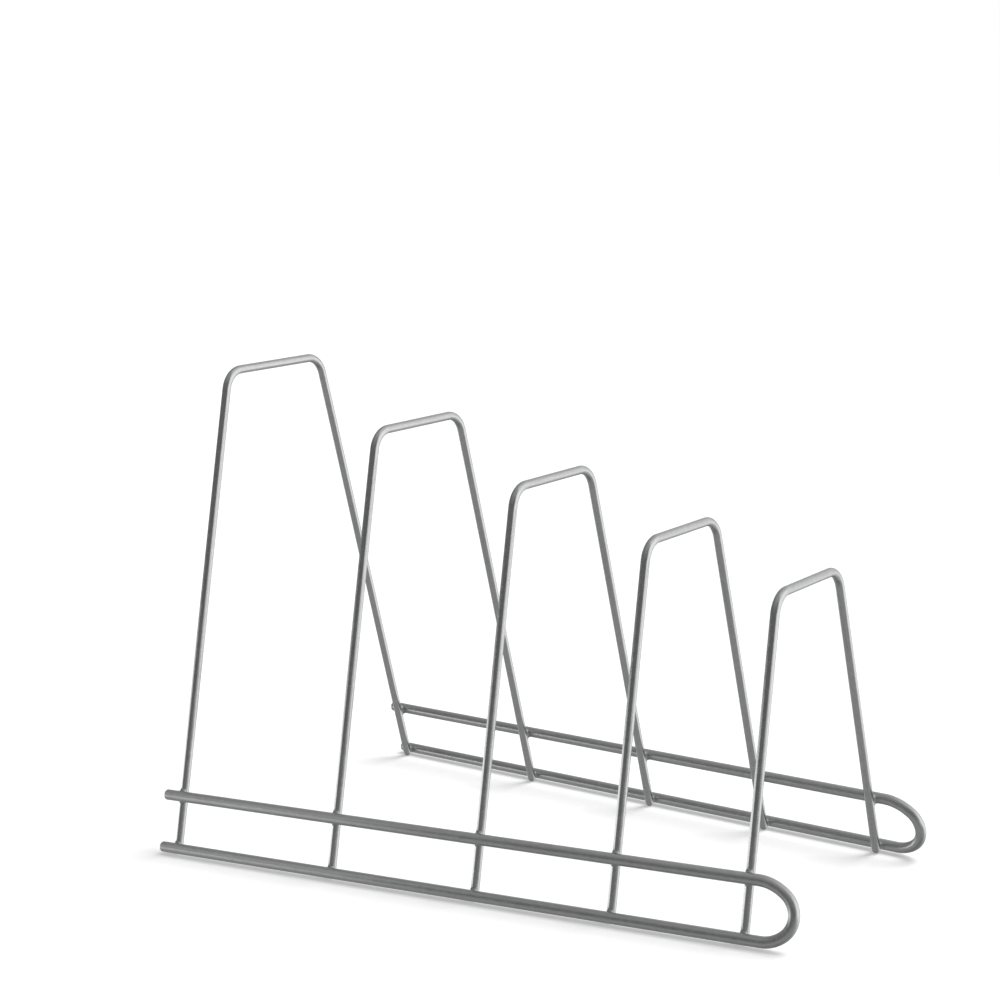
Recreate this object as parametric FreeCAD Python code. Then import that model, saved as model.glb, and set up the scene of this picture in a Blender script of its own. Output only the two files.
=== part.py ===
import FreeCAD, Part
import os
from math import asin, atan2, cos, degrees, pi, radians, sin, sqrt, tan

from FreeCAD import Vector

# A tray rack of round wire: five divider hoops, falling evenly in height, stand between
# two side rails. Each rail is one wire bent like a hairpin, so that its upper and lower
# runs make a side frame. The legs of the hoops are welded inside both runs, where each
# sits in a flat pressed into the rail.
# Millimetres. +X runs from the tall end to the short end, +Y to the rear side, +Z up.
# The origin is on the table, under the middle of the rack's outline.

# Wires
rail_wire = 5.5
hoop_wire = 4.5

# Hoops: the slots between them narrow towards the short end
hoop_spacings = (97.0, 83.5, 74.0, 67.5)
tall_hoop_height = 251.0
short_hoop_height = 156.5
hoop_corner_radius = 9.5
leg_below_rail_centre = 3.2

# Side frames: the widths lie between the lower runs' centre lines at the end hoops
tall_end_width = 208.0
short_end_width = 148.0
frame_lean = 14.1
run_spacing = 27.4
free_end_overhang = 7.0

# The hairpin's bend: a tight nose between two wider shoulders
bend_overhang = 25.2
upper_shoulder_radius = 22.0
lower_shoulder_radius = 17.0
nose_half_turn = 50.0

# Welds: each leg's flats are pressed this deep into both runs of the rail
flat_depth = 0.4

# Worked out from these. While it is built, the tallest hoop stands at x = 0 and the
# lower runs' centre lines at z = 0.
rail_radius = rail_wire / 2
hoop_radius = hoop_wire / 2
hoop_run = sum(hoop_spacings)
hoop_places = [sum(hoop_spacings[:count]) for count in range(len(hoop_spacings) + 1)]
taper = atan2((tall_end_width - short_end_width) / 2, hoop_run)
lean = radians(frame_lean)
leg_lean = atan2(tan(lean), cos(taper))
leg_slant = asin(sin(taper) * sin(leg_lean))
leg_offset = rail_radius + hoop_radius - flat_depth
leg_inset = leg_offset / (cos(lean) * cos(taper))
foot_depth = leg_below_rail_centre * cos(leg_lean) + hoop_radius * sin(leg_lean)

AXIS_X = Vector(1, 0, 0)
AXIS_Y = Vector(0, 1, 0)
AXIS_Z = Vector(0, 0, 1)
CENTRE = Vector(0, 0, 0)


def half_width(x):
    """From the middle plane to a lower run's centre line, at the place x."""
    return tall_end_width / 2 - x * tan(taper)


def hoop_height(x):
    """From the table to the top of the hoop that stands at x."""
    return tall_hoop_height + (short_hoop_height - tall_hoop_height) * x / hoop_run


def polar(centre, radius, angle):
    """A point of a circle in the XZ plane, at an angle from +X towards +Z."""
    return centre + Vector(radius * cos(angle), 0, radius * sin(angle))


def arc(centre, radius, start, end):
    """An arc in the XZ plane between two angles."""
    points = [polar(centre, radius, angle) for angle in (start, (start + end) / 2, end)]
    return Part.Arc(*points).toShape()


def round_wire(edges, radius):
    """A wire of circular section along straight runs and the arcs that join them."""
    path = Part.Wire(edges)
    first = path.OrderedEdges[0]
    start = first.valueAt(first.FirstParameter)
    heading = first.tangentAt(first.FirstParameter)
    section = Part.Wire(Part.makeCircle(radius, start, heading))
    return path.makePipeShell([section], True, False)


def hairpin():
    """A side rail before it leans: its runs in the XZ plane, the lower one at z = 0."""
    turn = radians(nose_half_turn)
    shoulders = upper_shoulder_radius + lower_shoulder_radius
    nose_radius = (run_spacing - shoulders * (1 - sin(turn))) / (2 * sin(turn))
    nose_height = lower_shoulder_radius * (1 - sin(turn)) + nose_radius * sin(turn)
    nose_tip = (hoop_run + bend_overhang) / cos(taper)
    free_end = -free_end_overhang / cos(taper)

    nose = Vector(nose_tip - nose_radius, 0, nose_height)
    upper_shoulder = polar(nose, nose_radius - upper_shoulder_radius, turn)
    lower_shoulder = polar(nose, nose_radius - lower_shoulder_radius, -turn)
    upper_end = Vector(free_end, 0, run_spacing)
    lower_end = Vector(free_end, 0, 0)
    edges = [
        Part.makeLine(upper_end, polar(upper_shoulder, upper_shoulder_radius, pi / 2)),
        arc(upper_shoulder, upper_shoulder_radius, pi / 2, turn),
        arc(nose, nose_radius, turn, -turn),
        arc(lower_shoulder, lower_shoulder_radius, -turn, -pi / 2),
        Part.makeLine(polar(lower_shoulder, lower_shoulder_radius, -pi / 2), lower_end),
    ]
    return round_wire(edges, rail_radius)


def leg_flats(x):
    """The bar that presses both flats for the leg at x into an upright rail."""
    width = 2 * sqrt(hoop_radius ** 2 - (hoop_radius - flat_depth) ** 2)
    bar = Part.makeBox(width, hoop_wire, run_spacing + 4 * rail_wire)
    bar.translate(Vector(-width / 2, flat_depth - rail_radius - hoop_wire, -2 * rail_wire))
    bar.rotate(CENTRE, AXIS_Y, degrees(leg_slant))
    bar.translate(Vector(x / cos(taper) + leg_inset * sin(taper), 0, leg_offset * tan(lean)))
    return bar


def set_at_rear(rail):
    """Lean a rail inwards and turn it along the rear side, which narrows with x."""
    placed = rail.copy()
    placed.rotate(CENTRE, AXIS_X, frame_lean)
    placed.rotate(CENTRE, AXIS_Z, -degrees(taper))
    placed.translate(Vector(0, half_width(0), 0))
    return placed


def divider_hoop(x):
    """A hoop bent from one wire: a level top bar between two legs that lean in."""
    up = Vector(0, -sin(leg_lean), cos(leg_lean))
    foot = Vector(x, half_width(x) - leg_inset, 0)
    tip = foot - up * leg_below_rail_centre
    bar_height = hoop_height(x) - hoop_radius - foot_depth
    corner = foot + up * (bar_height / up.z)

    setback = hoop_corner_radius * tan((pi / 2 - leg_lean) / 2)
    bend_start = corner - up * setback
    bend_end = corner - AXIS_Y * setback
    bend_centre = bend_end - AXIS_Z * hoop_corner_radius
    outwards = (corner - bend_centre).normalize()
    bend_middle = bend_centre + outwards * hoop_corner_radius
    edges = [
        Part.makeLine(tip, bend_start),
        Part.Arc(bend_start, bend_middle, bend_end).toShape(),
        Part.makeLine(bend_end, Vector(x, 0, bar_height)),
    ]
    rear_half = round_wire(edges, hoop_radius)
    front_half = rear_half.mirror(CENTRE, AXIS_Y)
    return rear_half.fuse(front_half).removeSplitter().Solids[0]


flattened = hairpin().cut([leg_flats(x) for x in hoop_places]).Solids[0]
rear_rail = set_at_rear(flattened)
pieces = {
    "rear_side_rail": rear_rail,
    "front_side_rail": rear_rail.mirror(CENTRE, AXIS_Y),
}
for number, x in enumerate(hoop_places, start=1):
    pieces[f"divider_hoop_{number}"] = divider_hoop(x)

# The lowest points lie on the outer rims of the legs' square-cut ends. Move the origin
# from the tallest hoop to the table, under the middle of the outline.
outline = Part.makeCompound([rear_rail]).optimalBoundingBox(False)
to_origin = Vector(-outline.Center.x, 0, foot_depth)

os.makedirs("parts", exist_ok=True)
for name, shape in pieces.items():
    shape.translate(to_origin)
    shape.exportStep(f"parts/{name}.step")
    print(name, shape.ShapeType, shape.isValid(), round(shape.Volume, 1))
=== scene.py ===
from math import atan2, cos, pi, radians, sin, sqrt, tan

import bmesh
import bpy
from mathutils import Matrix, Vector
from mathutils.geometry import intersect_line_line


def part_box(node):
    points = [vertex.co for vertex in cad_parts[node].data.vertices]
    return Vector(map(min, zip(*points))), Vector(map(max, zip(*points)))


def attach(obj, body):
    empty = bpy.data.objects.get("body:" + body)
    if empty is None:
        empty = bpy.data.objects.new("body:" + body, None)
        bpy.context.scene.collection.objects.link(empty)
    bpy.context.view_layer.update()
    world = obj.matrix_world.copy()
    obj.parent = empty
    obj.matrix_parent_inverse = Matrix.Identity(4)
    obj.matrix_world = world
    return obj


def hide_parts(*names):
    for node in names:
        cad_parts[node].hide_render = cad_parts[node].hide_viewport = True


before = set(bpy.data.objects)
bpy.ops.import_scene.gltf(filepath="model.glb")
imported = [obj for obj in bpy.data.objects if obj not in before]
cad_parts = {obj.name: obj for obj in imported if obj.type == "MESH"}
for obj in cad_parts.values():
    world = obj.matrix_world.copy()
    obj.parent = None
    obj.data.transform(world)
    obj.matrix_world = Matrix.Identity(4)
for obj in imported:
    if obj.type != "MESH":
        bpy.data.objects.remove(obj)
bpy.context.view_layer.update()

# The camera: it sees the rack from the front right, as on a shop's white page. A long
# lens from 1.1 m keeps the perspective gentle, and the camera hangs slightly out of level.
CAMERA_YAW = -0.617
CAMERA_PITCH = 0.1676
CAMERA_ROLL = -0.0429
CAMERA_DISTANCE = 1.11183
CAMERA_RIGHT = 0.01877
CAMERA_UP = -0.17668
LENS = 76.44
SENSOR = 36.0
NEAR_CLIP = 0.05
FAR_CLIP = 60.0
AIM = Vector((-0.009944, 0, 0.003653))

forward = Vector((sin(CAMERA_YAW) * cos(CAMERA_PITCH),
                  cos(CAMERA_YAW) * cos(CAMERA_PITCH),
                  -sin(CAMERA_PITCH)))
level_right = Vector((cos(CAMERA_YAW), -sin(CAMERA_YAW), 0))
level_up = level_right.cross(forward)
right = level_right * cos(CAMERA_ROLL) + level_up * sin(CAMERA_ROLL)
up = level_up * cos(CAMERA_ROLL) - level_right * sin(CAMERA_ROLL)
place = AIM - right * CAMERA_RIGHT - up * CAMERA_UP - forward * CAMERA_DISTANCE
turned = Matrix((right, up, -forward)).transposed().to_4x4()

camera = bpy.data.objects.new("camera", bpy.data.cameras.new("camera"))
bpy.context.scene.collection.objects.link(camera)
camera.data.lens = LENS
camera.data.sensor_width = SENSOR
camera.data.clip_start = NEAR_CLIP
camera.data.clip_end = FAR_CLIP
camera.matrix_world = Matrix.Translation(place) @ turned
bpy.context.scene.camera = camera


# The side rails: round steel wire of 5.5 mm, cut square and bent once like a hairpin, so
# that the upper and lower runs lie in one plane, which leans inwards. The bend has a
# tight nose between two wider shoulders. All wire is plated after welding.
MM = 0.001
RAIL_RADIUS = 2.75 * MM
TALL_END_WIDTH = 208.0 * MM
SHORT_END_WIDTH = 148.0 * MM
FRAME_LEAN = radians(14.1)
RUN_SPACING = 27.4 * MM
FREE_END_OVERHANG = 7.0 * MM
BEND_OVERHANG = 25.2 * MM
UPPER_SHOULDER = 22.0 * MM
LOWER_SHOULDER = 17.0 * MM
NOSE_HALF_TURN = radians(50.0)
LOWER_RUN_HEIGHT = 3.653 * MM
RAIL_TIP_ROUNDING = 0.9 * MM
TIP_STEPS = 6
ARC_STEP = radians(3.0)
WIRE_SIDES = 40

# The plating's detail: each pattern's size, its stretch along the wire and what it changes
LINE_SIZE = 0.8 * MM
LINE_STRETCH = 0.02
LINE_TONE = 0.08
LINE_DEPTH = 0.15
CLOUD_SIZE = 2.0 * MM
CLOUD_STRETCH = 0.6
CLOUD_TONE = 0.30
CLOUD_ROUGHNESS = 0.18
GRAIN_SIZE = 0.6 * MM
GRAIN_TONE = 0.34
GRAIN_ROUGHNESS = 0.15
GRAIN_DEPTH = 0.2
BUMP_DISTANCE = 0.1 * MM
BUMP_STRENGTH = 0.6
RAIL_TINT = (0.545, 0.55, 0.553)
RAIL_SHEEN = 0.34

hoop_names = [f"divider_hoop_{number}" for number in range(1, 6)]
hoop_x = [(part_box(name)[0].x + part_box(name)[1].x) / 2 for name in hoop_names]
hoop_top = [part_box(name)[1].z for name in hoop_names]
hoop_run = hoop_x[-1] - hoop_x[0]
taper = atan2((TALL_END_WIDTH - SHORT_END_WIDTH) / 2, hoop_run)
run_axis = Vector((cos(taper), -sin(taper), 0))
rise_axis = Vector((-sin(taper) * sin(FRAME_LEAN),
                    -cos(taper) * sin(FRAME_LEAN),
                    cos(FRAME_LEAN)))
rail_origin = Vector((hoop_x[0], TALL_END_WIDTH / 2, LOWER_RUN_HEIGHT))


def on_frame(along, rise):
    """A point of the rear side frame: along the lower run from the tallest hoop, and up."""
    return rail_origin + run_axis * along + rise_axis * rise


def to_front(point):
    """The same point or direction on the front side."""
    return Vector((point.x, -point.y, point.z))


def arc_points(centre, radius, start, end):
    """Points along an arc in the side frame's own plane."""
    steps = max(2, round(abs(end - start) / ARC_STEP))
    angles = [start + (end - start) * step / steps for step in range(steps + 1)]
    return [(centre[0] + radius * cos(a), centre[1] + radius * sin(a)) for a in angles]


def tip_distances(rounding):
    """Distances from a wire's cut end at which its rounding is drawn."""
    return [rounding * (1 - cos(pi / 2 * step / TIP_STEPS)) for step in range(TIP_STEPS + 1)]


def name_sockets(tree, direction, kinds):
    """Gives a node tree its named inputs or outputs."""
    for name, kind in kinds.items():
        tree.interface.new_socket(name, in_out=direction, socket_type=f"NodeSocket{kind}")


def value_node(nodes, operation, a, b, links):
    """A Math node whose inputs are numbers or sockets."""
    node = nodes.new("ShaderNodeMath")
    node.operation = operation
    for slot, value in zip(node.inputs, (a, b)):
        if isinstance(value, (int, float)):
            slot.default_value = value
        elif value is not None:
            links.new(value, slot)
    return node.outputs[0]


def sweep_tree():
    """Sweeps a round section along a path and rounds both cut ends."""
    tree = bpy.data.node_groups.new("sweep_round_wire", "GeometryNodeTree")
    name_sockets(tree, "INPUT", {"Path": "Geometry", "Wire radius": "Float",
                                 "Tip rounding": "Float", "Sides": "Int", "Material": "Material"})
    name_sockets(tree, "OUTPUT", {"Wire": "Geometry"})
    nodes, links = tree.nodes, tree.links
    given = nodes.new("NodeGroupInput").outputs
    result = nodes.new("NodeGroupOutput").inputs

    def math(operation, a, b=None):
        return value_node(nodes, operation, a, b, links)

    def keep(geometry, name, value, kind):
        store = nodes.new("GeometryNodeStoreNamedAttribute")
        store.data_type = kind
        store.domain = "POINT"
        store.inputs["Name"].default_value = name
        links.new(geometry, store.inputs["Geometry"])
        links.new(value, store.inputs["Value"])
        return store.outputs["Geometry"]

    def kept(name, kind):
        node = nodes.new("GeometryNodeInputNamedAttribute")
        node.data_type = kind
        node.inputs["Name"].default_value = name
        return node.outputs["Attribute"]

    # The radius follows a quarter circle over the tip's rounding and is even elsewhere
    path = nodes.new("GeometryNodeMeshToCurve")
    links.new(given["Path"], path.inputs["Mesh"])
    parameter = nodes.new("GeometryNodeSplineParameter")
    whole = nodes.new("GeometryNodeSplineLength")
    from_end = math("SUBTRACT", whole.outputs["Length"], parameter.outputs["Length"])
    from_tip = math("MINIMUM", parameter.outputs["Length"], from_end)
    inside = math("MAXIMUM", math("SUBTRACT", given["Tip rounding"], from_tip), 0.0)
    squares = math("SUBTRACT", math("POWER", given["Tip rounding"], 2.0),
                   math("POWER", inside, 2.0))
    reach = math("SQRT", math("MAXIMUM", squares, 0.0))
    core = math("SUBTRACT", given["Wire radius"], given["Tip rounding"])
    tapered = nodes.new("GeometryNodeSetCurveRadius")
    links.new(keep(path.outputs["Curve"], "along", parameter.outputs["Length"], "FLOAT"),
              tapered.inputs["Curve"])
    links.new(math("DIVIDE", math("ADD", core, reach), given["Wire radius"]),
              tapered.inputs["Radius"])

    section = nodes.new("GeometryNodeCurvePrimitiveCircle")
    links.new(given["Sides"], section.inputs["Resolution"])
    links.new(given["Wire radius"], section.inputs["Radius"])
    position = nodes.new("GeometryNodeInputPosition")
    profile = keep(section.outputs["Curve"], "section", position.outputs["Position"],
                   "FLOAT_VECTOR")
    sweep = nodes.new("GeometryNodeCurveToMesh")
    sweep.inputs["Fill Caps"].default_value = True
    links.new(tapered.outputs["Curve"], sweep.inputs["Curve"])
    links.new(profile, sweep.inputs["Profile Curve"])
    radius = nodes.new("GeometryNodeInputRadius")
    links.new(radius.outputs["Radius"], sweep.inputs["Scale"])

    # Coordinates that follow the wire: its section's own x and y, and the length along it
    split = nodes.new("ShaderNodeSeparateXYZ")
    links.new(kept("section", "FLOAT_VECTOR"), split.inputs[0])
    join = nodes.new("ShaderNodeCombineXYZ")
    links.new(split.outputs["X"], join.inputs["X"])
    links.new(split.outputs["Y"], join.inputs["Y"])
    links.new(kept("along", "FLOAT"), join.inputs["Z"])
    geometry = keep(sweep.outputs["Mesh"], "wire_coord", join.outputs[0], "FLOAT_VECTOR")
    for name in ("section", "along"):
        drop = nodes.new("GeometryNodeRemoveAttribute")
        drop.inputs["Name"].default_value = name
        links.new(geometry, drop.inputs["Geometry"])
        geometry = drop.outputs["Geometry"]
    smooth = nodes.new("GeometryNodeSetShadeSmooth")
    links.new(geometry, smooth.inputs["Geometry"])
    real = nodes.new("GeometryNodeRealizeInstances")
    links.new(smooth.outputs["Geometry"], real.inputs["Geometry"])
    finish = nodes.new("GeometryNodeSetMaterial")
    links.new(real.outputs["Geometry"], finish.inputs["Geometry"])
    links.new(given["Material"], finish.inputs["Material"])
    links.new(finish.outputs["Geometry"], result["Wire"])
    return tree


def run_nodes(host, tree, values):
    """Runs a geometry tree on a host mesh and gives the result as a plain mesh."""
    modifier = host.modifiers.new("build", "NODES")
    modifier.node_group = tree
    for item in tree.interface.items_tree:
        if item.item_type == "SOCKET" and item.in_out == "INPUT" and item.name in values:
            modifier[item.identifier] = values[item.name]
    bpy.context.view_layer.update()
    evaluated = host.evaluated_get(bpy.context.evaluated_depsgraph_get())
    built = bpy.data.meshes.new_from_object(evaluated)
    host.modifiers.clear()
    host.data = built
    return host


def piece_from_path(name, points):
    """An object whose mesh is a chain of edges through the points."""
    mesh = bpy.data.meshes.new(name)
    chain = [(i, i + 1) for i in range(len(points) - 1)]
    mesh.from_pydata([tuple(point) for point in points], chain, [])
    obj = bpy.data.objects.new(name, mesh)
    bpy.context.scene.collection.objects.link(obj)
    return obj


def plate_group():
    """Satin plating on wire: faint drawing lines, mottled sheen and a fine grain."""
    tree = bpy.data.node_groups.new("satin_plate", "ShaderNodeTree")
    name_sockets(tree, "INPUT", {"Coordinate": "Vector", "Tint": "Color", "Sheen": "Float",
                                 "Line depth": "Float", "Grain depth": "Float"})
    name_sockets(tree, "OUTPUT", {"Color": "Color", "Roughness": "Float", "Height": "Float"})
    nodes, links = tree.nodes, tree.links
    given = nodes.new("NodeGroupInput").outputs
    result = nodes.new("NodeGroupOutput").inputs

    def math(operation, a, b=None):
        return value_node(nodes, operation, a, b, links)

    def noise(size, stretch, detail):
        mapping = nodes.new("ShaderNodeMapping")
        mapping.inputs["Scale"].default_value = (1, 1, stretch)
        links.new(given["Coordinate"], mapping.inputs["Vector"])
        field = nodes.new("ShaderNodeTexNoise")
        field.inputs["Scale"].default_value = 1 / size
        field.inputs["Detail"].default_value = detail
        links.new(mapping.outputs[0], field.inputs["Vector"])
        return math("SUBTRACT", field.outputs["Fac"], 0.5)

    lines = noise(LINE_SIZE, LINE_STRETCH, 2.0)
    cloud = noise(CLOUD_SIZE, CLOUD_STRETCH, 3.0)
    grain = noise(GRAIN_SIZE, 1, 2.0)

    shade = math("ADD", math("MULTIPLY", lines, LINE_TONE), math("MULTIPLY", cloud, CLOUD_TONE))
    shade = math("ADD", shade, math("MULTIPLY", grain, GRAIN_TONE))
    tone = nodes.new("ShaderNodeHueSaturation")
    links.new(given["Tint"], tone.inputs["Color"])
    links.new(math("ADD", shade, 1.0), tone.inputs["Value"])
    links.new(tone.outputs["Color"], result["Color"])
    rough = math("ADD", math("MULTIPLY", cloud, CLOUD_ROUGHNESS),
                 math("MULTIPLY", grain, GRAIN_ROUGHNESS))
    links.new(math("ADD", given["Sheen"], rough), result["Roughness"])
    height = math("ADD", math("MULTIPLY", lines, given["Line depth"]),
                  math("MULTIPLY", grain, given["Grain depth"]))
    links.new(height, result["Height"])
    return tree


def plated(name, tint, sheen, line_depth, grain_depth, follows_wire):
    """A metal material that takes its detail from the shared plating group."""
    material = bpy.data.materials.new(name)
    material.use_nodes = True
    nodes, links = material.node_tree.nodes, material.node_tree.links
    shader = nodes["Principled BSDF"]
    shader.inputs["Metallic"].default_value = 1.0
    if follows_wire:
        source = nodes.new("ShaderNodeAttribute")
        source.attribute_name = "wire_coord"
        coordinate = source.outputs["Vector"]
    else:
        source = nodes.new("ShaderNodeTexCoord")
        coordinate = source.outputs["Object"]
    group = nodes.new("ShaderNodeGroup")
    group.node_tree = satin_plate
    links.new(coordinate, group.inputs["Coordinate"])
    group.inputs["Tint"].default_value = (*tint, 1)
    group.inputs["Sheen"].default_value = sheen
    group.inputs["Line depth"].default_value = line_depth
    group.inputs["Grain depth"].default_value = grain_depth
    bump = nodes.new("ShaderNodeBump")
    bump.inputs["Distance"].default_value = BUMP_DISTANCE
    bump.inputs["Strength"].default_value = BUMP_STRENGTH
    links.new(group.outputs["Color"], shader.inputs["Base Color"])
    links.new(group.outputs["Roughness"], shader.inputs["Roughness"])
    links.new(group.outputs["Height"], bump.inputs["Height"])
    links.new(bump.outputs["Normal"], shader.inputs["Normal"])
    return material


nose_sine = sin(NOSE_HALF_TURN)
shoulders = UPPER_SHOULDER + LOWER_SHOULDER
nose_radius = (RUN_SPACING - shoulders * (1 - nose_sine)) / (2 * nose_sine)
nose = ((hoop_run + BEND_OVERHANG) / cos(taper) - nose_radius,
        LOWER_SHOULDER * (1 - nose_sine) + nose_radius * nose_sine)
upper_centre = (nose[0] - (UPPER_SHOULDER - nose_radius) * cos(NOSE_HALF_TURN),
                nose[1] - (UPPER_SHOULDER - nose_radius) * nose_sine)
lower_centre = (nose[0] - (LOWER_SHOULDER - nose_radius) * cos(NOSE_HALF_TURN),
                nose[1] + (LOWER_SHOULDER - nose_radius) * nose_sine)
free_end = -FREE_END_OVERHANG / cos(taper)
ends = [free_end + distance for distance in tip_distances(RAIL_TIP_ROUNDING)]
route = [(along, RUN_SPACING) for along in ends]
route += arc_points(upper_centre, UPPER_SHOULDER, pi / 2, NOSE_HALF_TURN)
route += arc_points(nose, nose_radius, NOSE_HALF_TURN, -NOSE_HALF_TURN)[1:]
route += arc_points(lower_centre, LOWER_SHOULDER, -NOSE_HALF_TURN, -pi / 2)[1:]
route += [(along, 0) for along in reversed(ends)]
rail_path = [on_frame(along, rise) for along, rise in route]

sweep_wire = sweep_tree()
satin_plate = plate_group()
rail_plate = plated("satin_plate_on_rails", RAIL_TINT, RAIL_SHEEN, LINE_DEPTH, GRAIN_DEPTH,
                    follows_wire=True)
for name, path, node in (
    ("rear_rail_wire", rail_path, "rear_side_rail"),
    ("front_rail_wire", [to_front(point) for point in rail_path], "front_side_rail"),
):
    rail = run_nodes(piece_from_path(name, path), sweep_wire, {
        "Wire radius": RAIL_RADIUS, "Tip rounding": RAIL_TIP_ROUNDING,
        "Sides": WIRE_SIDES, "Material": rail_plate})
    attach(rail, "root")
    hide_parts(node)


# The divider hoops: round steel wire of 4.5 mm. Each is bent twice into a level top bar
# between two legs, which lean in as the side frames do. The legs' domed tips stand on
# the table, and each leg lies in flats pressed into both runs of its rail.
HOOP_RADIUS = 2.25 * MM
HOOP_CORNER = 12.0 * MM
HOOP_TIP_ROUNDING = 2.1 * MM
FLAT_DEPTH = 0.4 * MM
HOOP_TINT = (0.548, 0.552, 0.555)
HOOP_SHEEN = 0.22

leg_lean = atan2(tan(FRAME_LEAN), cos(taper))
leg_offset = RAIL_RADIUS + HOOP_RADIUS - FLAT_DEPTH
leg_inset = leg_offset / (cos(FRAME_LEAN) * cos(taper))
leg_axis = Vector((0, -sin(leg_lean), cos(leg_lean)))
flat_tip = HOOP_RADIUS - HOOP_TIP_ROUNDING
tip_height = HOOP_TIP_ROUNDING * (1 - cos(leg_lean)) + flat_tip * sin(leg_lean)


def foot_at(x):
    """Where the rear leg of the hoop at x crosses the lower run's height."""
    y = TALL_END_WIDTH / 2 - (x - hoop_x[0]) * tan(taper) - leg_inset
    return Vector((x, y, LOWER_RUN_HEIGHT))


def leg_tip(x):
    """The middle of that leg's tip, which stands on the table."""
    foot = foot_at(x)
    return foot - leg_axis * ((foot.z - tip_height) / leg_axis.z)


def hoop_path(x, top):
    """The rear half of a hoop from its tip to its corner, then the same mirrored."""
    tip = leg_tip(x)
    bar = top - HOOP_RADIUS
    corner = tip + leg_axis * ((bar - tip.z) / leg_axis.z)
    setback = HOOP_CORNER * tan((pi / 2 - leg_lean) / 2)
    centre = Vector((x, corner.y - setback, bar - HOOP_CORNER))
    steps = round((pi / 2 - leg_lean) / ARC_STEP)
    turns = [leg_lean + (pi / 2 - leg_lean) * step / steps for step in range(steps + 1)]
    points = [tip + leg_axis * distance for distance in tip_distances(HOOP_TIP_ROUNDING)]
    points += [centre + HOOP_CORNER * Vector((0, cos(turn), sin(turn))) for turn in turns]
    return points + [to_front(point) for point in reversed(points)]


hoop_plate = plated("satin_plate_on_hoops", HOOP_TINT, HOOP_SHEEN, LINE_DEPTH, GRAIN_DEPTH,
                    follows_wire=True)
for node, x, top in zip(hoop_names, hoop_x, hoop_top):
    name = node.replace("divider_hoop", "hoop_wire")
    hoop = run_nodes(piece_from_path(name, hoop_path(x, top)), sweep_wire, {
        "Wire radius": HOOP_RADIUS, "Tip rounding": HOOP_TIP_ROUNDING,
        "Sides": WIRE_SIDES, "Material": hoop_plate})
    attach(hoop, "root")
    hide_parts(node)


# The welds: each leg is pressed into both runs of a rail and welded there. The metal that
# flowed out stands round the crossing as a hollow fillet, and on the lower run it closes
# over the leg's domed tip.
UPPER_FILLET = 1.35 * MM
LOWER_FILLET = 1.0 * MM
ROOT_DEPTH = 0.5 * MM
RING_STEPS = 56
FILLET_STEPS = 6
BALL_START_OUT = 2.3 * MM
BALL_START_IN = 2.6 * MM
BALL_ROUNDS = 40
NUDGE = 0.001 * MM
NO_TIP = 1.0
UNEVENNESS = 0.16 * MM
FLOW_SIZE = 2.4 * MM
FLOW_LEVEL = 0.45
WELD_TINT = (0.47, 0.475, 0.48)
WELD_SHEEN = 0.36
WELD_GRAIN_DEPTH = 0.5


def rail_gap(p):
    """Distance from a rail along X to a point."""
    return sqrt(p.y ** 2 + p.z ** 2) - RAIL_RADIUS


def leg_gap(p, tip):
    """Distance from a leg along Z, with its domed tip at z = -tip, to a point."""
    out = sqrt(p.x ** 2 + (p.y - leg_offset) ** 2) - flat_tip
    down = -p.z - (tip - HOOP_TIP_ROUNDING)
    if down <= 0:
        return out - HOOP_TIP_ROUNDING
    return sqrt(max(out, 0) ** 2 + down ** 2) - HOOP_TIP_ROUNDING


def slope(gap, p):
    """The direction in which a distance grows."""
    steps = (Vector((NUDGE, 0, 0)), Vector((0, NUDGE, 0)), Vector((0, 0, NUDGE)))
    return Vector([gap(p + step) - gap(p - step) for step in steps]).normalized()


def resting_ball(away, tip, radius):
    """Where a ball that is pushed in from one direction comes to touch both wires."""
    def leg(p):
        return leg_gap(p, tip)

    ball = away * (BALL_START_OUT + radius) + Vector((0, BALL_START_IN, 0))
    for attempt in range(BALL_ROUNDS):
        miss_rail = rail_gap(ball) - radius
        miss_leg = leg(ball) - radius
        rail_slope, leg_slope = slope(rail_gap, ball), slope(leg, ball)
        a, b = rail_slope.dot(away), rail_slope.y
        c, d = leg_slope.dot(away), leg_slope.y
        turn = a * d - b * c
        ball -= away * ((miss_rail * d - miss_leg * b) / turn)
        ball.y -= (miss_leg * a - miss_rail * c) / turn
    return ball, -slope(rail_gap, ball), -slope(leg, ball)


def fillet_mesh(name, tip, radius):
    """A closed ring: a ball rolls round the crossing and leaves the fillet under it."""
    mesh = bpy.data.meshes.new(name)
    form = bmesh.new()
    rings = []
    for step in range(RING_STEPS):
        angle = 2 * pi * step / RING_STEPS
        away = Vector((cos(angle), 0, sin(angle)))
        ball, to_rail, to_leg = resting_ball(away, tip, radius)
        sweep = [to_rail.slerp(to_leg, part / FILLET_STEPS) for part in range(FILLET_STEPS + 1)]
        root = (sweep[-1], sweep[FILLET_STEPS // 2], sweep[0])
        ring = [ball + toward * radius for toward in sweep]
        ring += [ball + toward * (radius + ROOT_DEPTH) for toward in root]
        rings.append([form.verts.new(point) for point in ring])
    for number, ring in enumerate(rings):
        after = rings[(number + 1) % RING_STEPS]
        for k in range(len(ring)):
            n = (k + 1) % len(ring)
            form.faces.new((ring[k], ring[n], after[n], after[k]))
    bmesh.ops.recalc_face_normals(form, faces=form.faces)
    form.to_mesh(mesh)
    form.free()
    obj = bpy.data.objects.new(name, mesh)
    bpy.context.scene.collection.objects.link(obj)
    return obj


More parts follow.
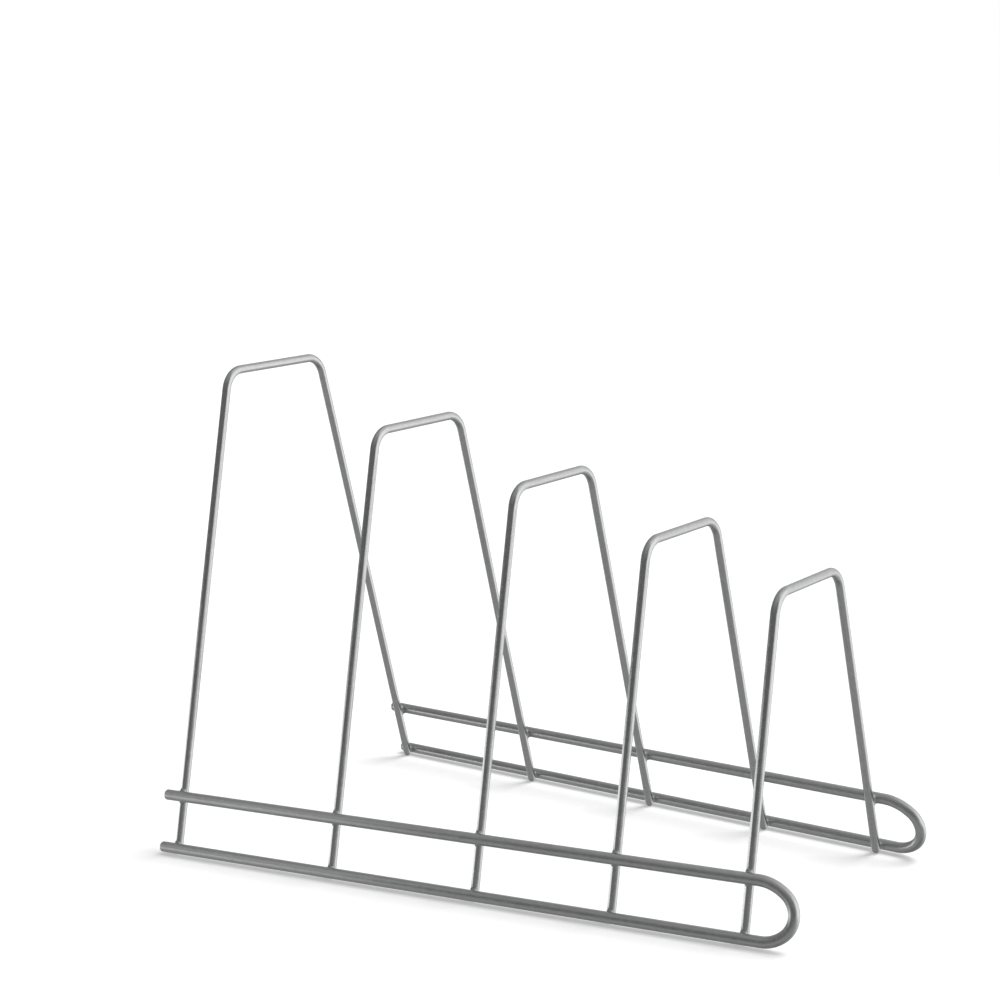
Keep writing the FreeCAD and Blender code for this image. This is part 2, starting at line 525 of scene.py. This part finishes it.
def weld_tree():
    """Sets a fillet on each crossing, turned as its mark says, and makes it uneven."""
    tree = bpy.data.node_groups.new("set_welds", "GeometryNodeTree")
    name_sockets(tree, "INPUT", {"Marks": "Geometry", "Fillet": "Object",
                                 "Unevenness": "Float", "Material": "Material"})
    name_sockets(tree, "OUTPUT", {"Welds": "Geometry"})
    nodes, links = tree.nodes, tree.links
    given = nodes.new("NodeGroupInput").outputs
    result = nodes.new("NodeGroupOutput").inputs
    turn = nodes.new("GeometryNodeInputNamedAttribute")
    turn.data_type = "QUATERNION"
    turn.inputs["Name"].default_value = "turn"
    shape = nodes.new("GeometryNodeObjectInfo")
    links.new(given["Fillet"], shape.inputs["Object"])
    points = nodes.new("GeometryNodeMeshToPoints")
    links.new(given["Marks"], points.inputs["Mesh"])
    instances = nodes.new("GeometryNodeInstanceOnPoints")
    links.new(points.outputs["Points"], instances.inputs["Points"])
    links.new(shape.outputs["Geometry"], instances.inputs["Instance"])
    links.new(turn.outputs["Attribute"], instances.inputs["Rotation"])
    real = nodes.new("GeometryNodeRealizeInstances")
    links.new(instances.outputs["Instances"], real.inputs["Geometry"])
    field = nodes.new("ShaderNodeTexNoise")
    field.inputs["Scale"].default_value = 1 / FLOW_SIZE
    field.inputs["Detail"].default_value = 2.0
    centred = value_node(nodes, "SUBTRACT", field.outputs["Fac"], FLOW_LEVEL, links)
    height = value_node(nodes, "MULTIPLY", centred, given["Unevenness"], links)
    normal = nodes.new("GeometryNodeInputNormal")
    offset = nodes.new("ShaderNodeVectorMath")
    offset.operation = "SCALE"
    links.new(normal.outputs["Normal"], offset.inputs[0])
    links.new(height, offset.inputs["Scale"])
    shift = nodes.new("GeometryNodeSetPosition")
    links.new(real.outputs["Geometry"], shift.inputs["Geometry"])
    links.new(offset.outputs[0], shift.inputs["Offset"])
    smooth = nodes.new("GeometryNodeSetShadeSmooth")
    links.new(shift.outputs["Geometry"], smooth.inputs["Geometry"])
    finish = nodes.new("GeometryNodeSetMaterial")
    links.new(smooth.outputs["Geometry"], finish.inputs["Geometry"])
    links.new(given["Material"], finish.inputs["Material"])
    links.new(finish.outputs["Geometry"], result["Welds"])
    return tree


def crossings(rise):
    """Where the rear rail's run at that rise is nearest to each leg, and how it lies."""
    found = []
    start, end = on_frame(0, rise), on_frame(1, rise)
    for x in hoop_x:
        foot = foot_at(x)
        on_run, on_leg = intersect_line_line(start, end, foot, foot + leg_axis)
        inward = (on_leg - on_run).normalized()
        along = inward.cross(leg_axis).normalized()
        found.append((on_run, on_leg, (along, inward, along.cross(inward))))
    return found


weld_plate = plated("satin_plate_on_welds", WELD_TINT, WELD_SHEEN, 0.0, WELD_GRAIN_DEPTH,
                    follows_wire=False)
set_welds = weld_tree()
first_on_leg = crossings(0)[0][1]
tip_below = (first_on_leg - leg_tip(hoop_x[0])).length
fillets = {"upper": (RUN_SPACING, fillet_mesh("upper_fillet", NO_TIP, UPPER_FILLET)),
           "lower": (0.0, fillet_mesh("lower_fillet", tip_below, LOWER_FILLET))}
for side in ("rear", "front"):
    for run, (rise, fillet) in fillets.items():
        places, turns = [], []
        for on_run, on_leg, (along, inward, upward) in crossings(rise):
            if side == "front":
                on_run = to_front(on_run)
                along, inward, upward = to_front(-along), to_front(inward), to_front(upward)
            places.append(tuple(on_run))
            turns += list(Matrix((along, inward, upward)).transposed().to_quaternion())
        marks = bpy.data.meshes.new(f"{side}_{run}_welds")
        marks.from_pydata(places, [], [])
        marks.attributes.new("turn", "QUATERNION", "POINT").data.foreach_set("value", turns)
        welds = bpy.data.objects.new(marks.name, marks)
        bpy.context.scene.collection.objects.link(welds)
        run_nodes(welds, set_welds, {
            "Fillet": fillet, "Unevenness": UNEVENNESS, "Material": weld_plate})
        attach(welds, "root")
for rise, fillet in fillets.values():
    bpy.data.objects.remove(fillet)


# The table: a broad sheet of white paper that the rack stands on. It keeps the rack's soft
# shadow. A little light of its own, for the camera alone, brings it up to the page's white.
TABLE_HALF = 12.0
TABLE_COLOUR = (0.80, 0.80, 0.80, 1)
TABLE_ROUGHNESS = 0.9
TABLE_LIFT = 0.30

table_mesh = bpy.data.meshes.new("table")
corners = [(x * TABLE_HALF, y * TABLE_HALF, 0) for x, y in ((-1, -1), (1, -1), (1, 1), (-1, 1))]
table_mesh.from_pydata(corners, [], [(0, 1, 2, 3)])
table = bpy.data.objects.new("table", table_mesh)
bpy.context.scene.collection.objects.link(table)
table.visible_glossy = False
paper = bpy.data.materials.new("white_paper")
paper.use_nodes = True
nodes, links = paper.node_tree.nodes, paper.node_tree.links
shader = nodes["Principled BSDF"]
shader.inputs["Base Color"].default_value = TABLE_COLOUR
shader.inputs["Roughness"].default_value = TABLE_ROUGHNESS
shader.inputs["Emission Color"].default_value = (1, 1, 1, 1)
light_path = nodes.new("ShaderNodeLightPath")
links.new(value_node(nodes, "MULTIPLY", light_path.outputs["Is Camera Ray"], TABLE_LIFT, links),
          shader.inputs["Emission Strength"])
table_mesh.materials.append(paper)


# The surroundings that the plated wire mirrors: a bright wall to the right of the rack, a
# low sheet of light to its left, and a room that is dark at eye level and paler above and
# below. The camera itself sees a white page there.
# Each curve lists places and how bright it is there. Bearings and elevations are in
# degrees, bearings from +X, or from -X for the sheet. Heights run from -1 to 1.
WALL_EDGE_SLANT = 3.0
WALL_EDGE_RANGE = (-0.21, 0.08)
WALL_EDGE_STEP = 27.0
WALL_EDGE_STEP_BY_HEIGHT = ((-1, 0), (0.085, 0), (0.16, 1), (1, 1))
WALL_RISE = ((-180, 0), (-42, 0), (-35, 0.08), (-28, 0.25), (-22, 0.45), (-15, 0.85),
             (-8, 1.1), (0, 1.2), (180, 1.2))
WALL_FALL = ((-180, 0), (-80, 0), (-70, 1), (20, 1), (45, 0.92), (60, 0.7), (75, 0.55),
             (95, 0.42), (118, 0.28), (140, 0.12), (180, 0))
WALL_BY_HEIGHT = ((-1, 0.1), (-0.6, 0.3), (-0.5, 0.5), (-0.34, 0.95), (-0.2, 1), (0.5, 1),
                  (0.7, 0.6), (1, 0.3))
SHEET_EDGE_SLANT = 0.2
SHEET_BY_BEARING = ((-180, 0), (-50, 0), (-30, 0.8), (-15, 1.5), (0, 1.7), (20, 1.7),
                    (35, 1.5), (46, 0.8), (54, 0), (180, 0))
SHEET_BY_ELEVATION = ((-90, 0), (-22, 0), (-17, 0.6), (-13, 1), (-8, 1), (-6, 0.65),
                      (-4, 0.15), (-3, 0), (90, 0))
ROOM_BY_HEIGHT = ((-1, 0.22), (-0.9, 0.27), (-0.72, 0.38), (-0.39, 0.38), (-0.15, 0.3),
                  (0, 0.22), (0.12, 0.155), (0.32, 0.19), (0.6, 0.24), (0.8, 0.34), (1, 0.45))
BRIGHTEST = 2.0

world = bpy.data.worlds.new("studio")
bpy.context.scene.world = world
world.use_nodes = True
studio_nodes, studio_links = world.node_tree.nodes, world.node_tree.links


def studio_math(operation, a, b=None):
    return value_node(studio_nodes, operation, a, b, studio_links)


def light_curve(value, span, stops):
    """Light read off a curve, for a value between -span and span."""
    curve = studio_nodes.new("ShaderNodeFloatCurve")
    points = curve.mapping.curves[0].points
    for place, (position, light) in enumerate(stops):
        spot = ((position / span + 1) / 2, light / BRIGHTEST)
        if place == 0:
            points[0].location = spot
        elif place == len(stops) - 1:
            points[-1].location = spot
        else:
            points.new(*spot)
    for point in points:
        point.handle_type = "VECTOR"
    curve.mapping.update()
    half = studio_math("MULTIPLY", value, 0.5 / span)
    studio_links.new(studio_math("ADD", half, 0.5), curve.inputs["Value"])
    return studio_math("MULTIPLY", curve.outputs["Value"], BRIGHTEST)


def bearing_of(x, y):
    """The bearing of a direction in degrees."""
    return studio_math("DEGREES", studio_math("ARCTAN2", y, x))


direction = studio_nodes.new("ShaderNodeTexCoord").outputs["Generated"]
split = studio_nodes.new("ShaderNodeSeparateXYZ")
studio_links.new(direction, split.inputs[0])
height = split.outputs["Z"]
bearing = bearing_of(split.outputs["X"], split.outputs["Y"])

# The wall's near edge slants towards the camera with height, then steps back again
lowest, highest = WALL_EDGE_RANGE
held = studio_math("MINIMUM", studio_math("MAXIMUM", height, lowest), highest)
slant = studio_math("MULTIPLY", studio_math("DEGREES", held), WALL_EDGE_SLANT)
step = studio_math("MULTIPLY", light_curve(height, 1, WALL_EDGE_STEP_BY_HEIGHT), WALL_EDGE_STEP)
edge = studio_math("SUBTRACT", studio_math("ADD", bearing, slant), step)
wall = studio_math("MULTIPLY", light_curve(edge, 180, WALL_RISE),
                   light_curve(bearing, 180, WALL_FALL))
wall = studio_math("MULTIPLY", wall, light_curve(height, 1, WALL_BY_HEIGHT))

from_left = bearing_of(studio_math("MULTIPLY", split.outputs["X"], -1.0),
                       studio_math("MULTIPLY", split.outputs["Y"], -1.0))
elevation = studio_math("DEGREES", studio_math("ARCSINE", height))
slant = studio_math("MULTIPLY", from_left, SHEET_EDGE_SLANT)
sheet_edge = studio_math("SUBTRACT", elevation, slant)
sheet = studio_math("MULTIPLY", light_curve(from_left, 180, SHEET_BY_BEARING),
                    light_curve(sheet_edge, 90, SHEET_BY_ELEVATION))

room = light_curve(height, 1, ROOM_BY_HEIGHT)
studio_light = studio_math("ADD", studio_math("ADD", wall, sheet), room)
seen = studio_nodes.new("ShaderNodeLightPath")
page = studio_nodes.new("ShaderNodeMixRGB")
page.inputs[2].default_value = (1, 1, 1, 1)
studio_links.new(seen.outputs["Is Camera Ray"], page.inputs[0])
studio_links.new(studio_light, page.inputs[1])
studio_links.new(page.outputs[0], studio_nodes["Background"].inputs["Color"])
studio_nodes["Background"].inputs["Strength"].default_value = 1.0


# The lamp: one broad soft light above the rack, behind it and to the right, so that the
# shadow falls softly to the front left. The wire doesn't mirror it.
LAMP_STRENGTH = 2.0
LAMP_SOFTNESS = radians(35)
LAMP_DIRECTION = Vector((-0.35, -0.45, -1.0))

lamp = bpy.data.objects.new("soft_lamp", bpy.data.lights.new("soft_lamp", "SUN"))
bpy.context.scene.collection.objects.link(lamp)
lamp.data.energy = LAMP_STRENGTH
lamp.data.angle = LAMP_SOFTNESS
lamp.rotation_euler = LAMP_DIRECTION.to_track_quat("-Z", "Y").to_euler()
lamp.visible_glossy = False


# The card: a faintly lit upright sheet in front of the rack's tall end, which fades out to
# the right. The front rail mirrors it, and nothing else sees it.
CARD_Y = -0.18
CARD_X = (-0.34, -0.05)
CARD_Z = (-0.06, 0.22)
CARD_FADE = 0.1
CARD_LIGHT = 0.23

card_mesh = bpy.data.meshes.new("card")
card_mesh.from_pydata([(x, CARD_Y, z) for z in CARD_Z for x in CARD_X], [], [(0, 1, 3, 2)])
card = bpy.data.objects.new("card", card_mesh)
bpy.context.scene.collection.objects.link(card)
card.visible_camera = card.visible_diffuse = card.visible_shadow = False
lit_card = bpy.data.materials.new("lit_card")
lit_card.use_nodes = True
nodes, links = lit_card.node_tree.nodes, lit_card.node_tree.links
nodes.remove(nodes["Principled BSDF"])
across = nodes.new("ShaderNodeSeparateXYZ")
links.new(nodes.new("ShaderNodeTexCoord").outputs["Object"], across.inputs[0])
fade = nodes.new("ShaderNodeMapRange")
fade.interpolation_type = "SMOOTHSTEP"
fade.inputs["From Min"].default_value = CARD_X[1]
fade.inputs["From Max"].default_value = CARD_X[1] - CARD_FADE
fade.inputs["To Min"].default_value = 0.0
fade.inputs["To Max"].default_value = CARD_LIGHT
links.new(across.outputs["X"], fade.inputs["Value"])
light = nodes.new("ShaderNodeEmission")
clear = nodes.new("ShaderNodeBsdfTransparent")
both = nodes.new("ShaderNodeAddShader")
links.new(fade.outputs["Result"], light.inputs["Strength"])
links.new(light.outputs[0], both.inputs[0])
links.new(clear.outputs[0], both.inputs[1])
links.new(both.outputs[0], nodes["Material Output"].inputs["Surface"])
card_mesh.materials.append(lit_card)
front_rail_only = bpy.data.collections.new("front_rail_only")
front_rail_only.objects.link(bpy.data.objects["front_rail_wire"])
card.light_linking.receiver_collection = front_rail_only

bpy.context.scene.view_settings.view_transform = "Standard"
bpy.context.view_layer.update()
